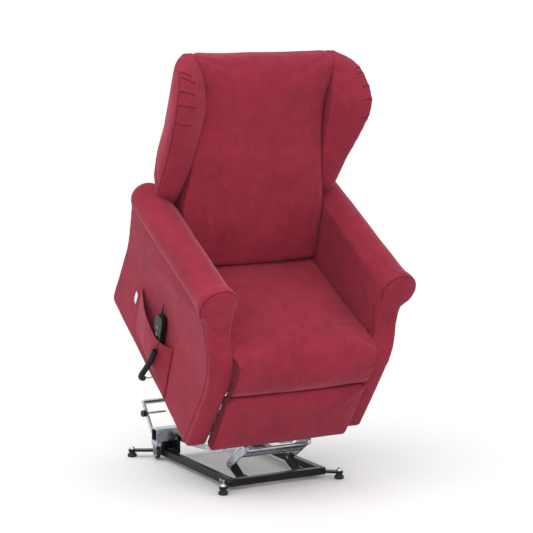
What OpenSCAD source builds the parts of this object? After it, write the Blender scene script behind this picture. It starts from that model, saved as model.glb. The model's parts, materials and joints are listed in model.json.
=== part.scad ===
// Lift recliner chair, shown raised and tipped forward.
// Base frame, lift linkage and actuators, upholstered body, reclining back and footrest.

/* [Raised position] */
// Forward tilt of the chair body
tilt = 36; // [32:1:38]
// Height of the body's front lower corner above the floor
raised_z = 165; // [160:1:175]

/* [Body] */
// Width over the two side panels
body_w = 686; // [680:2:700]
// Thickness of a side panel
side_t = 63; // [60:1:66]
// Radius of the rolled arm
roll_r = 57; // [54:1:58]
// Radius of the scroll at the front of the rolled arm
scroll_r = 69; // [66:1:70]
// Lean of the back from the body's upright
lean = 20; // [18:1:22]
// Overall length of the back along its lean
back_s = 825; // [810:5:830]

/* [Base] */
// Width over the two side rails
rail_w = 380; // [376:2:384]
// Size of the square frame tube
tube = 25; // [22:1:26]
// Radius of a glide foot
glide_r = 17; // [14:1:18]
// Radius of a transport wheel
wheel_r = 22; // [20:1:23]

/* [Linkage] */
// Thickness of a link plate
link_t = 6; // [5:1:6]
// Radius of a link pin
pin_r = 5; // [4:0.5:5]
// Radial running clearance of a pin in its link
fit = 0.05; // [0.02:0.01:0.08]

/* [Hidden] */
$fn = 64;

// Colours
cloth = "#8f3241";
black = "#1d1d1f";
zinc = "#c3c8cc";
wood = "#c9a26b";

// Front face of the base frame: this place centres the whole chair on the origin
front_y = -197.368;

// Body placement: the front lower corner of the side panels
body_y = front_y + 27;
half_w = body_w / 2;
inner_x = half_w - side_t;
soft_gap = 4;
seat_x = inner_x - soft_gap;

// Fixed points, [y, z], of the base
pivot_a = [front_y + 132, 58];
pivot_b = [front_y + 492, 82];
pivot_e = [front_y + 492, 100];
wheel_y = front_y + 537;
rail_x = rail_w / 2;
rail_z = 15;
rail_top = rail_z + tube;
rail_back_y = front_y + 572;
beam_y = front_y + 518;
beam_d = 44;
beam_z = 70;
beam_h = 46;
beam_x = 215;
foot_front = [230, front_y - 25];
foot_rear = [263, front_y + 625];

// Points, [y, z], in the body's own frame
pin_c = [-26.85, -11.94];
pin_d = [16.64, 0.71];
eye_f = [60, 160];
hinge_h = [560, 240];
recline_s = [160, 110];
recline_g = [560, 145];
foot_j = [140, 200];
foot_k1 = [140, 20];
foot_k2 = [12, 185];

// Widthways places of the link plates
bracket_x = 108;
front_link_x = 118;
plate_x = 126;
rear_link_x = 134;
ear_x = 142;
drive_x = 206;
lift_link_x = 198;
lug_x = 190;
side_rail_x = 250;
lift_x = -40;
recline_x = 70;

// Centre line of the rolled arm, [y, z]
roll_front = [95, 562];
roll_rear = [735, 487];
roll_x = 345;

// Outline of the arm's front edge, [y, z]
arm_edge = [[0, 3], [0, 240], [10, 360], [36, 410], [80, 456], [98, 500], [100, 560]];
pad_t = 30;

// Lengths of the actuators
lift_len = 559.7;
lift_angle = 155.774;
recline_len = norm(recline_g - recline_s);
recline_angle = atan2(recline_g[1] - recline_s[1], recline_g[0] - recline_s[0]);

// Route points, [x, y, z], of the handset cord in the body's own frame
lead_route = [[-357, 384, 283], [-357, 390, 296], [-361, 386, 309], [-368, 372, 312],
    [-374, 354, 302], [-378, 336, 282], [-381, 320, 258], [-384, 307, 234], [-386, 298, 214]];
curl_route = [[-386, 298, 214], [-387, 299, 190], [-388, 302, 160], [-388, 306, 130],
    [-387, 311, 100], [-387, 318, 68], [-387, 326, 38], [-383, 336, 11], [-371, 346, -11],
    [-348, 354, -24], [-318, 358, -26]];
tail_route = [[-318, 358, -26], [-300, 358, -24], [-282, 358, -15], [-266, 358, 0],
    [-254, 357, 20], [-245, 355, 42], [-240, 352, 68], [-238, 350, 94], [-238, 350, 120]];
wire_d = 4;
curl_d = 21;

// ---------- helpers ----------

// Places children in the frame of the raised, tilted body
module on_body() translate([0, body_y, raised_z]) rotate([tilt, 0, 0]) children();

// Places children in the frame of the leaning back, whose Z runs up the back
module on_back() on_body() translate([0, hinge_h[0], hinge_h[1]]) rotate([-lean, 0, 0]) children();

// Extrudes a [y, z] outline along X
module slab(x, t) translate([x, 0, 0]) rotate([90, 0, 90]) linear_extrude(t) children();

// The same slab on the right and mirrored to the left
module both(x, t) {
    slab(x, t) children();
    slab(-x - t, t) children();
}

// Round bar along X
module rod_x(x0, x1, p, r) translate([x0, p[0], p[1]]) rotate([0, 90, 0]) cylinder(h = x1 - x0, r = r);

// Flat bar between two [y, z] points, with eyes a little wider than the bar
module strip(p, q, w) {
    d = q - p;
    translate(p) rotate(atan2(d[1], d[0])) translate([0, -w / 2]) square([norm(d), w]);
    for (end = [p, q]) translate(end) circle(d = w + 2);
}

// A run of flat bars through several points
module chain_strip(points, w) for (i = [0 : len(points) - 2]) strip(points[i], points[i + 1], w);

// A round hole in a [y, z] outline
module hole(p, r) translate(p) circle(r = r);

// Places children along an actuator: local Y runs from its foot to its eye
module along(x, p, angle) translate([x, p[0], p[1]]) rotate([angle, 0, 0]) children();

// Round tube swept along a route; aside is a direction that the route never runs along
function unit(v) = v / norm(v);
function way(r, i) = unit(r[min(i + 1, len(r) - 1)] - r[max(i - 1, 0)]);
function ring(r, i, d, n, aside) = let (t = way(r, i), u = unit(cross(t, aside)), v = cross(t, u))
    [for (k = [0 : n - 1]) r[i] + (u * cos(360 * k / n) + v * sin(360 * k / n)) * d / 2];
module swept_tube(r, d, n, aside) {
    last = len(r) - 1;
    points = [for (i = [0 : last]) each ring(r, i, d, n, aside)];
    sides = [for (i = [0 : last - 1]) for (k = [0 : n - 1])
        [i * n + k, i * n + (k + 1) % n, (i + 1) * n + (k + 1) % n, (i + 1) * n + k]];
    start = [[for (k = [n - 1 : -1 : 0]) k]];
    end = [[for (k = [0 : n - 1]) last * n + k]];
    polyhedron(points, concat(sides, start, end));
}

// ---------- base frame ----------

module front_rail() color(black)
    translate([-rail_x, front_y, rail_z]) cube([rail_w, tube, tube]);

module side_rail(side) color(black)
    translate([side > 0 ? rail_x - tube : -rail_x, front_y + tube, rail_z])
        cube([tube, rail_back_y - front_y - tube, tube]);

// Flat outrigger from a rail corner to a glide foot
module leg(p, q, w, z0, z1) {
    d = q - p;
    translate([0, 0, z0]) linear_extrude(z1 - z0) difference() {
        union() {
            translate(p) rotate(atan2(d[1], d[0])) translate([0, -w / 2]) square([norm(d), w]);
            translate(q) circle(d = w + 4);
        }
        translate(q) circle(r = 5);
    }
}

leg_low = 20;
leg_high = 28;
front_leg_root = [192, front_y + 8];
rear_leg_root = [178, rail_back_y + 7];

module front_legs() color(black) difference() {
    for (side = [-1, 1]) scale([side, 1, 1])
        leg(front_leg_root, foot_front, 24, leg_low, leg_high);
    translate([-rail_x, front_y, 0]) cube([rail_w, tube, 60]);
}

module rear_legs() color(black) difference() {
    for (side = [-1, 1]) scale([side, 1, 1]) leg(rear_leg_root, foot_rear, 25, leg_low, leg_high);
    translate([-rail_x, 0, 0]) cube([rail_w, rail_back_y, 60]);
}

// Four glides: a round pad with a neck that carries its leg
module glide_feet() color(black)
    for (p = [foot_front, foot_rear]) for (side = [-1, 1]) translate([side * p[0], p[1], 0]) {
        cylinder(h = 12, r = glide_r);
        translate([0, 0, 12]) cylinder(h = leg_low - 12, r = 11);
    }

// Foot bolts through the legs, and the bolts at the front ends of the side rails
module frame_bolts() color(zinc) {
    for (p = [foot_front, foot_rear]) for (side = [-1, 1]) translate([side * p[0], p[1], leg_low]) {
        cylinder(h = leg_high - leg_low, r = 5);
        translate([0, 0, leg_high - leg_low]) cylinder(h = 6, r = 9);
    }
    for (side = [-1, 1]) for (y = [front_y + 40, front_y + 62])
        translate([side > 0 ? rail_x : -rail_x - 5, y, rail_z + tube / 2])
            rotate([0, 90, 0]) cylinder(h = 5, r = 6);
}

bracket_t = 8;

// Plates on the front rail that carry the front links
module pivot_brackets() color(black) both(bracket_x, bracket_t) difference() {
    translate([front_y, 0])
        polygon([[tube, 18], [tube, 42], [55, 42], [109, 72], [155, 72], [155, 46], [91, 18]]);
    hole(pivot_a, pin_r);
}

// Rear risers: an ear for the rear link and a block that carries the beam
module risers() color(black) for (side = [-1, 1]) scale([side, 1, 1]) {
    slab(ear_x, bracket_t) difference() {
        translate([front_y, 0]) polygon([[473, 30], [473, 84], [483, 98], [503, 98], [518, beam_z],
            [562, beam_z], [562, 30]]);
        hole(pivot_b, pin_r);
    }
    translate([ear_x + bracket_t, beam_y, rail_top])
        cube([rail_x - ear_x - bracket_t, beam_d, beam_z - rail_top]);
}

// Cross beam with the lugs of the lift actuator on its front face
module rear_beam() color(zinc) {
    difference() {
        translate([-beam_x, beam_y, beam_z]) cube([2 * beam_x, beam_d, beam_h]);
        translate([-beam_x - 1, beam_y + 3, beam_z + 3])
            cube([2 * beam_x + 2, beam_d - 6, beam_h - 6]);
    }
    for (x = [lift_x - 26, lift_x + 20]) slab(x, link_t) difference() {
        union() {
            strip(pivot_e, [beam_y - 12, pivot_e[1]], 26);
            translate([beam_y - 14, pivot_e[1] - 13]) square([14, 26]);
        }
        hole(pivot_e, pin_r);
    }
}

handle_low = [front_y + 571, 100];
handle_top = [front_y + 646, 194];
handle_x = 204;

// Tilted loop behind the beam for tipping the chair on to its wheels
module transport_handle() color(zinc) {
    both(handle_x, link_t) strip(handle_low, handle_top, 16);
    rod_x(-handle_x - link_t, handle_x + link_t, handle_top, 9);
}

brace_end = [front_y + 617, 158];

// Thin stay across the handle's right post, with a round knob on its outer end
module brace_rod() color(zinc) {
    rod_x(-handle_x, -130, brace_end, 4);
    rod_x(-handle_x - link_t - 16, -handle_x - link_t, brace_end, 12);
}

// Forks below the beam that hold the transport wheels
module caster_brackets() color(zinc) for (side = [-1, 1]) scale([side, 1, 1]) {
    for (x = [195, 212]) slab(x, 3) difference() {
        union() {
            strip([wheel_y, 26], [wheel_y + 2, 50], 26);
            translate([beam_y, 52]) square([beam_d, beam_z - 52]);
        }
        hole([wheel_y, 26], 4);
    }
    translate([198, beam_y, beam_z - 5]) cube([14, beam_d, 5]);
}

// Pins of the base: wheel axles, front links, rear links and the actuator's foot
module pivot_pins() color(zinc) {
    for (side = [-1, 1]) scale([side, 1, 1]) {
        rod_x(195, 215, [wheel_y, 26], 4);
        rod_x(bracket_x, front_link_x + link_t + 0.5, pivot_a, pin_r);
        rod_x(front_link_x + link_t + 0.5, front_link_x + link_t + 3.5, pivot_a, 9);
        rod_x(rear_link_x - 0.5, ear_x + bracket_t, pivot_b, pin_r);
        rod_x(rear_link_x - 3.5, rear_link_x - 0.5, pivot_b, 9);
    }
    rod_x(lift_x - 26, lift_x + 26, pivot_e, pin_r);
}

// Small transport wheel on its axle
module caster_wheel(side) color(black)
    translate([side > 0 ? 199 : -211, wheel_y, 26]) rotate([0, 90, 0]) difference() {
        cylinder(h = 12, r = wheel_r);
        translate([0, 0, -1]) cylinder(h = 14, r = 4 + fit);
    }

// ---------- lift linkage ----------

pin_d_world = [body_y, raised_z] + [pin_d[0] * cos(tilt) - pin_d[1] * sin(tilt),
    pin_d[0] * sin(tilt) + pin_d[1] * cos(tilt)];
pin_c_world = [body_y, raised_z] + [pin_c[0] * cos(tilt) - pin_c[1] * sin(tilt),
    pin_c[0] * sin(tilt) + pin_c[1] * cos(tilt)];

// Long bent link from the rear riser to the body's lift plate
module rear_link(side) color(zinc)
    slab(side > 0 ? rear_link_x : -rear_link_x - link_t, link_t) difference() {
        chain_strip([pivot_b, [front_y + 377, 84], [front_y + 222, 95], [front_y + 157, 112],
            pin_d_world], 18);
        hole(pivot_b, pin_r + fit);
        hole(pin_d_world, pin_r + fit);
    }

open_eye_r = 9.5;

// Short link at the front; its upper eye is the open pivot of the lift
module front_link(side) color(zinc)
    slab(side > 0 ? front_link_x : -front_link_x - link_t, link_t) difference() {
        union() {
            strip(pivot_a, pin_c_world, 24);
            translate(pin_c_world) circle(r = 14);
            polygon([pivot_a + [8, 8], pin_c_world + [22, 4], pin_c_world + [60, -2]]);
        }
        hole(pivot_a, pin_r + fit);
        hole(pin_c_world, open_eye_r);
    }

link_dir = pin_c_world - pivot_a;
link_angle = atan2(link_dir[1], link_dir[0]);

// Channel between the front links
module front_cross_channel() color(zinc)
    along(-front_link_x, pivot_a + link_dir * 0.65, link_angle) difference() {
        translate([0, -10, -10]) cube([2 * front_link_x, 20, 20]);
        translate([-1, -7, -7]) cube([2 * front_link_x + 2, 14, 18]);
    }

// Round bar between the front links, close to their upper eyes
module front_cross_bar() color(zinc)
    rod_x(-front_link_x, front_link_x, pivot_a + link_dir * 0.85, 6);

motor_r = 28;

// Motor of the lift actuator, lying on its gear housing
module lift_motor() color(black) along(lift_x, pivot_e, lift_angle) {
    translate([0, 96, -60]) rotate([-90, 0, 0]) cylinder(h = 96, r = motor_r);
    translate([0, 192, -60]) rotate([-90, 0, 0]) cylinder(h = 8, r = motor_r - 8);
}

lift_rod_r = 12;

// Gear housing and outer tube of the lift actuator
module lift_housing() color(black) along(lift_x, pivot_e, lift_angle) difference() {
    union() {
        rotate([0, 90, 0]) translate([0, 0, -19]) cylinder(h = 38, r = 14);
        translate([-19, 0, -14]) cube([38, 30, 28]);
        translate([-26, 26, -90]) cube([52, 70, 114]);
        translate([0, 96, 0]) rotate([-90, 0, 0]) cylinder(h = 204, r = 20);
    }
    rotate([0, 90, 0]) translate([0, 0, -20]) cylinder(h = 40, r = pin_r + fit);
    translate([0, 104, 0]) rotate([-90, 0, 0]) cylinder(h = 200, r = lift_rod_r + fit);
}

// Push rod with a fork whose pin runs in the window of the body's lug
module lift_rod() color(zinc) along(lift_x, pivot_e, lift_angle) {
    translate([0, 240, 0]) rotate([-90, 0, 0]) cylinder(h = 262, r = lift_rod_r);
    translate([-13, 500, -14]) cube([26, 16, 28]);
    for (x = [-13, 8]) translate([x, 516, -14]) cube([5, lift_len - 516 + 14, 28]);
    translate([-8, lift_len, 0]) rotate([0, 90, 0]) cylinder(h = 16, r = 4);
}

// ---------- upholstered body ----------

// Outline of a side panel behind the arm's front pad
module side_outline() polygon(concat([for (p = arm_edge) p + [pad_t, p == arm_edge[0] ? 2 : 0]],
    [[735, 465], [750, 435], [726, 4]]));

// Round solid of the rolled arm, r proud by g
module roll_solid(side, g) {
    d = roll_rear - roll_front;
    translate([side * roll_x, roll_front[0], roll_front[1]])
        rotate([-90 + atan2(d[1], d[0]), 0, 0]) {
            cylinder(h = norm(d), r = roll_r + g);
            cylinder(h = 36, r = scroll_r + g);
        }
}

module side_panel(side) color(cloth) on_body() difference() {
    slab(side > 0 ? inner_x : -half_w, side_t) side_outline();
    roll_solid(side, 0.3);
}

// Padded facing at the front of the arm
module arm_front(side) color(cloth) on_body() difference() {
    slab(side > 0 ? inner_x - 1 : -half_w - 1, side_t + 2) polygon(concat(arm_edge,
        [for (i = [len(arm_edge) - 1 : -1 : 0]) arm_edge[i] + [pad_t - 0.3, i == 0 ? 2 : 0]]));
    roll_solid(side, 0.3);
}

module arm_roll(side) color(cloth) on_body() roll_solid(side, 0);

module seat_cushion() color(cloth) on_body() slab(-seat_x, 2 * seat_x)
    polygon([[-18, 258], [-28, 280], [-32, 330], [-30, 372], [-18, 396], [4, 408], [50, 405],
        [157, 388], [484, 354], [484, 262], [20, 262]]);

// Five sprung straps across the seat frame
module seat_springs() color("gray") on_body() for (i = [-2 : 2])
    translate([i * 88 - 20, 66, 250.5]) cube([40, 424, 4]);

rail_pin_r = 6;

// Side rails of the seat frame with the pins of the footrest and the back
module seat_side_rails() color(wood) on_body() for (side = [-1, 1]) scale([side, 1, 1]) {
    translate([side_rail_x, 60, 205]) cube([inner_x - side_rail_x, 530, 45]);
    slab(drive_x + link_t + 2, side_rail_x - drive_x - link_t - 2) {
        strip(foot_j, foot_j + [0, 18], 26);
        hole(foot_j + [0, 20], 13);
    }
    rod_x(drive_x - 1, side_rail_x, foot_j, pin_r);
    rod_x(198, side_rail_x, hinge_h, rail_pin_r);
}

// Front and rear cross rails, the front one with the lug of the lift rod
module seat_cross_rails() color(wood) on_body() {
    translate([-side_rail_x, 62, 215]) cube([2 * side_rail_x, 24, 35]);
    translate([-side_rail_x, 462, 210]) cube([2 * side_rail_x, 24, 40]);
    slab(lift_x - 5, 10) difference() {
        union() {
            hole(eye_f, 26);
            translate([eye_f[0] - 10, eye_f[1]]) square([30, 55]);
        }
        hole(eye_f, 17);
    }
}

cross_tube = [190, 205];

// Lift plate: carries the rear link's pin and the pin of the open pivot
module lift_plate(side) color(zinc) on_body() scale([side, 1, 1]) {
    slab(plate_x, link_t) difference() {
        union() {
            strip(pin_c, pin_d, 20);
            chain_strip([pin_d, [120, 90], cross_tube], 26);
        }
        hole(cross_tube, 12);
    }
    rod_x(front_link_x - 2, plate_x, pin_c, pin_r);
    rod_x(plate_x + link_t, rear_link_x + link_t + 0.5, pin_d, pin_r);
    rod_x(rear_link_x + link_t + 0.5, rear_link_x + link_t + 4, pin_d, 9);
}

// Cross tube of the lift frame with the lugs of the recline actuator
module lift_cross_tube() color(zinc) on_body() {
    rod_x(-side_rail_x, side_rail_x, cross_tube, 12);
    for (x = [recline_x - 26, recline_x + 20]) slab(x, link_t) strip(cross_tube, recline_s, 21);
    rod_x(recline_x - 26, recline_x + 26, recline_s, pin_r);
}

// Control box on the inside of the sitter's-right panel, with a mains inlet at its back
module control_box() color(black) on_body() difference() {
    translate([-inner_x, 300, 120]) cube([70, 110, 60]);
    translate([-inner_x + 24, 396, 140]) cube([22, 15, 20]);
}

// ---------- pocket, handset and cord ----------

pocket_outer = [[215, 14], [518, 58], [561, 220], [470, 204], [400, 190], [351, 187], [300, 194],
    [264, 211]];
pocket_inner = [[221, 20], [513, 62], [556, 232], [400, 240], [268, 230]];
pocket_t = 31;
pocket_wall = 3;

// Sewn pocket on the outside of the sitter's-right panel, open at the top
module hand_pocket() color(cloth) on_body() difference() {
    slab(-half_w - pocket_t, pocket_t) polygon(pocket_outer);
    slab(-half_w - pocket_t + pocket_wall, pocket_t) polygon(pocket_inner);
}

module care_tag() color("white") on_body()
    slab(-half_w - 1.5, 1.5) polygon([[564, 130], [584, 133], [590, 176], [570, 178]]);

handset_low = [322, 106];
handset_angle = 70;
handset_l = 165;
handset_w = 52;
handset_t = 22;
handset_x = -half_w - 25;
button_r = 7;
button_places = [96, 122];

// Places children on the handset: X is its thickness, Y runs along it
module on_handset() on_body() along(handset_x, handset_low, handset_angle) children();

// Handset with rounded ends and two wells for its buttons
module handset_case() color(black) on_handset() difference() {
    slab(0, handset_t) union() {
        translate([20, -handset_w / 2]) square([handset_l - 40, handset_w]);
        translate([0, -handset_w / 2 + 20]) square([handset_l, handset_w - 40]);
        for (y = [20, handset_l - 20]) for (z = [-1, 1]) translate([y, z * (handset_w / 2 - 20)])
            circle(r = 20);
    }
    for (y = button_places) translate([-1, y, 0]) rotate([0, 90, 0]) cylinder(h = 6, r = button_r + 0.3);
}

module button(y) color("dimgray") on_handset()
    translate([-1.4, y, 0]) rotate([0, 90, 0]) cylinder(h = 4.2, r = button_r);

// Tapered strain relief where the lead leaves the handset
module handset_relief() color(black) on_handset()
    translate([11, handset_l, 0]) rotate([-90, 0, 0]) cylinder(h = 22, r1 = 6, r2 = 3.5);

module cord_lead() color(black) on_body() swept_tube(lead_route, wire_d, 8, [1, 0, 0]);
module cord_curl() color(black) on_body() swept_tube(curl_route, curl_d, 12, [0, 1, 0]);
module cord_tail() color(black) on_body() swept_tube(tail_route, wire_d, 8, [0, 1, 0]);

// ---------- back ----------

cushion_x = 250;

// Cushion of the back, in [n, s]: n is behind the hinge's plane, s is up the back
module back_cushion() color(cloth) on_back() slab(-cushion_x, 2 * cushion_x)
    polygon([[-4, 92], [-100, 98], [-111, 118], [-104, 250], [-92, 400], [-76, 560], [-73, 690],
        [-74, 755], [-58, 800], [-30, back_s], [-4, back_s]]);

// Padded wing beside the head and shoulders
module wing(side) color(cloth) on_body() slab(side > 0 ? 254 : -380, 126)
    polygon([[660, 588], [655, 700], [650, 800], [652, 880], [660, 940], [680, 985], [720, 1012],
        [770, 1020], [825, 1018], [855, 990], [815, 880], [757, 720], [708, 588]]);

shell_n = 27;
shell_t = 14;

// Rear panel of the back: wide above the arms, narrow between them
module back_shell() color(cloth) on_back() translate([0, shell_n + shell_t, 0]) rotate([90, 0, 0])
    linear_extrude(shell_t) polygon([[-262, 32], [262, 32], [262, 372], [300, 372],
        [300, 790], [270, back_s], [-270, back_s], [-300, 790], [-300, 372], [-262, 372]]);

back_post_x = 198;

// Steel frame of the back: two posts, three cross tubes and the lug of the recline rod
module back_frame() color(black) {
    on_back() {
        for (side = [-1, 1]) scale([side, 1, 1]) difference() {
            union() {
                translate([back_post_x, 0, 0]) cube([20, 24, 760]);
                slab(back_post_x, 20) hole([0, 0], 18);
            }
            rod_x(back_post_x - 1, back_post_x + 21, [0, 0], rail_pin_r + fit);
        }
        for (s = [300, 560, 742]) rod_x(-back_post_x, back_post_x, [12, s], 9);
        rod_x(-back_post_x, back_post_x, [12, 36], 9);
    }
    on_body() slab(recline_x - 5, 10) difference() {
        union() {
            strip(recline_g, hinge_h + [16, 14], 24);
            hole(recline_g, 19);
        }
        hole(recline_g, 11);
    }
}

recline_rod_r = 10;

module recline_housing() color(black) on_body() along(recline_x, recline_s, recline_angle) difference() {
    union() {
        rotate([0, 90, 0]) translate([0, 0, -19]) cylinder(h = 38, r = 13);
        translate([-19, 0, -13]) cube([38, 30, 26]);
        translate([-24, 28, -22]) cube([48, 54, 44]);
        translate([0, 82, 0]) rotate([-90, 0, 0]) cylinder(h = 168, r = 17);
    }
    rotate([0, 90, 0]) translate([0, 0, -20]) cylinder(h = 40, r = pin_r + fit);
    translate([0, 90, 0]) rotate([-90, 0, 0]) cylinder(h = 170, r = recline_rod_r + fit);
}

module recline_rod() color(zinc) on_body() along(recline_x, recline_s, recline_angle) {
    translate([0, 170, 0]) rotate([-90, 0, 0]) cylinder(h = 190, r = recline_rod_r);
    translate([-12, 352, -12]) cube([24, 14, 24]);
    for (x = [-12, 7]) translate([x, 366, -12]) cube([5, recline_len - 366 + 12, 24]);
    translate([-7, recline_len, 0]) rotate([0, 90, 0]) cylinder(h = 14, r = 4);
}

// ---------- footrest ----------

board_x = 262;

// Plywood board with two lugs and their pins
module footrest_board() color(wood) on_body() {
    slab(-board_x, 2 * board_x) polygon([[-7.7, 16], [1.5, 16], [1.5, 240], [-7.7, 240]]);
    for (side = [-1, 1]) scale([side, 1, 1]) {
        slab(lug_x, link_t) union() {
            strip([6, foot_k2[1]], foot_k2, 22);
            translate([1.5, foot_k2[1] - 11]) square([6, 22]);
        }
        rod_x(lug_x + link_t, lift_link_x + link_t + 1, foot_k2, 4.5);
    }
}

pad_x = 272;

module footrest_pad() color(cloth) on_body() slab(-pad_x, 2 * pad_x)
    polygon([[-8, 8], [-20, 7], [-29, 16], [-31, 60], [-31, 200], [-28, 236], [-18, 246],
        [-8, 246]]);

// Links that swing on the seat frame, with the pins of the lift links
module footrest_drive_links() color(zinc) on_body() for (side = [-1, 1]) scale([side, 1, 1]) {
    slab(drive_x, link_t) difference() {
        strip(foot_j, foot_k1, 20);
        hole(foot_j, pin_r + fit);
    }
    rod_x(lift_link_x - 1, drive_x, foot_k1, 4.5);
}

// Links between the drive links and the footrest board
module footrest_lift_links() color(zinc) on_body() both(lift_link_x, link_t) difference() {
    strip(foot_k1, foot_k2, 18);
    hole(foot_k1, 4.5 + fit);
    hole(foot_k2, 4.5 + fit);
}

// ---------- assembly ----------

front_rail();
side_rail(1);  // side_rail_left
side_rail(-1);  // side_rail_right
front_legs();
rear_legs();
glide_feet();
frame_bolts();
pivot_brackets();
risers();
rear_beam();
transport_handle();
brace_rod();
caster_brackets();
pivot_pins();
caster_wheel(1);  // caster_wheel_left
caster_wheel(-1);  // caster_wheel_right
rear_link(1);  // rear_link_left
rear_link(-1);  // rear_link_right
front_link(1);  // front_link_left
front_link(-1);  // front_link_right
front_cross_channel();
front_cross_bar();
lift_motor();
lift_housing();
lift_rod();
side_panel(1);  // side_panel_left
side_panel(-1);  // side_panel_right
arm_front(1);  // arm_front_left
arm_front(-1);  // arm_front_right
arm_roll(1);  // arm_roll_left
arm_roll(-1);  // arm_roll_right
seat_cushion();
seat_springs();
seat_side_rails();
seat_cross_rails();
lift_plate(1);  // lift_plate_left
lift_plate(-1);  // lift_plate_right
lift_cross_tube();
control_box();
hand_pocket();
care_tag();
handset_case();
handset_relief();
cord_lead();
cord_curl();
cord_tail();
button(button_places[1]);  // button_up
button(button_places[0]);  // button_down
back_cushion();
wing(1);  // wing_left
wing(-1);  // wing_right
back_shell();
back_frame();
recline_housing();
recline_rod();
footrest_board();
footrest_pad();
footrest_drive_links();
footrest_lift_links();
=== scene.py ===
"""Looks of the lift recliner chair: upholstery, handset cord, metal and plastic finishes."""

import math

import bpy
import numpy as np
from mathutils import Matrix, Vector, noise
from mathutils.bvhtree import BVHTree
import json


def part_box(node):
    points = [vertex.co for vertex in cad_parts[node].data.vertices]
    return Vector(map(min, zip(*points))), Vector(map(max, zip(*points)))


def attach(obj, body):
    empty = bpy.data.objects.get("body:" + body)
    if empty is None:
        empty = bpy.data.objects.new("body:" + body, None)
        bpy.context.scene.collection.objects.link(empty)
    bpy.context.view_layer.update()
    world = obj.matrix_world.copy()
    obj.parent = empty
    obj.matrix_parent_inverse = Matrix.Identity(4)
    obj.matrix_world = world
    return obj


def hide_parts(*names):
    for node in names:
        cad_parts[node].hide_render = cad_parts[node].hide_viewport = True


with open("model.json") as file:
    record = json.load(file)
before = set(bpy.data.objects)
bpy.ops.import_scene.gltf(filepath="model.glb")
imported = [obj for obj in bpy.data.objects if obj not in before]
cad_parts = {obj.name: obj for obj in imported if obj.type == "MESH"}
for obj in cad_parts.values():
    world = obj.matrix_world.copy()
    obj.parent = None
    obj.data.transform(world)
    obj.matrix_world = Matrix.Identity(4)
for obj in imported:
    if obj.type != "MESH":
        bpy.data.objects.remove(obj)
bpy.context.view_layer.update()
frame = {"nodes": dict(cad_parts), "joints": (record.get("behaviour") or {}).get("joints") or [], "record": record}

# ---------- places, in metres, in the chair body's own frame: x, y towards the back, z up ----------

TILT = math.radians(36)
LEAN = math.radians(20)
HINGE = (0.560, 0.240)

ARM_INNER, ARM_OUTER = 0.2785, 0.343
SEAT_X = 0.2795
BACK_X = 0.250
FOOT_X = 0.2675
# How far the arms' front facings lean in by height; the seat's front corners keep clear of them
LEAN_IN = [(0.000, 0.009), (0.240, 0.010), (0.290, 0.017), (0.380, 0.015), (0.450, 0.0)]
ROLL_X, ROLL_R, SCROLL_R = 0.345, 0.060, 0.071
ROLL_FRONT, ROLL_REAR = (0.095, 0.562), (0.748, 0.495)
PAD_T = 0.030
# The outer side of the arm flares out from this height up to this far under the roll's axis
FLARE_FROM, FLARE, UNDER_ROLL = 0.225, 0.036, 0.045
SIM_STEPS = 20

ARM_EDGE = [(-0.004, -0.003), (-0.006, 0.240), (0.003, 0.335), (0.024, 0.390), (0.062, 0.440), (0.090, 0.490),
    (0.100, 0.552), (0.113, 0.588)]
ARM_REAR = [(0.730, 0.535), (0.752, 0.500), (0.760, 0.440), (0.732, -0.001)]
SEAT_SIDE = [(-0.014, 0.251), (-0.028, 0.256), (-0.034, 0.290), (-0.035, 0.330),
    (-0.031, 0.372), (-0.016, 0.402), (0.012, 0.415), (0.056, 0.416), (0.157, 0.398),
    (0.500, 0.353), (0.562, 0.326), (0.566, 0.262), (0.020, 0.258)]
FOOT_SIDE = [(-0.006, 0.002), (-0.028, 0.001), (-0.034, 0.010), (-0.036, 0.060),
    (-0.036, 0.200), (-0.035, 0.244), (-0.028, 0.254), (-0.006, 0.254), (0.010, 0.248),
    (0.010, 0.006)]
# The back's side outline is in its own leaning frame: n behind the hinge, s up the back
BACK_SIDE = [(-0.004, 0.080), (-0.100, 0.083), (-0.112, 0.104), (-0.107, 0.250),
    (-0.095, 0.400), (-0.080, 0.560), (-0.075, 0.690), (-0.076, 0.762), (-0.061, 0.808),
    (-0.028, 0.829), (0.034, 0.832), (0.040, 0.800), (-0.004, 0.770)]
# Half width of the back up its length: full between the arms, drawn in between the wings
BACK_WIDTH = [(0.080, 0.276), (0.300, 0.278), (0.350, 0.273), (0.435, 0.258), (0.500, 0.250), (0.563, 0.245),
    (0.627, 0.241), (0.670, 0.242), (0.720, 0.246), (0.770, 0.255), (0.810, 0.264)]
# Wing by height: z, inner seam x and y, outer seam x and y, rear edge x and y
WING = [(0.538, 0.272, 0.640, 0.345, 0.656, 0.345, 0.672),
    (0.575, 0.278, 0.632, 0.349, 0.650, 0.346, 0.694),
    (0.603, 0.274, 0.632, 0.352, 0.648, 0.347, 0.722),
    (0.650, 0.265, 0.640, 0.357, 0.647, 0.347, 0.738),
    (0.694, 0.257, 0.651, 0.361, 0.645, 0.347, 0.750),
    (0.755, 0.251, 0.666, 0.367, 0.641, 0.348, 0.756),
    (0.814, 0.246, 0.679, 0.374, 0.638, 0.349, 0.760),
    (0.875, 0.243, 0.694, 0.380, 0.641, 0.349, 0.772),
    (0.912, 0.244, 0.708, 0.382, 0.647, 0.349, 0.780),
    (0.940, 0.246, 0.724, 0.381, 0.658, 0.349, 0.787),
    (0.962, 0.248, 0.743, 0.377, 0.675, 0.348, 0.794),
    (0.980, 0.251, 0.765, 0.370, 0.697, 0.347, 0.800),
    (0.994, 0.255, 0.786, 0.362, 0.727, 0.345, 0.806),
    (1.004, 0.262, 0.806, 0.352, 0.762, 0.342, 0.811)]
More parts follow.
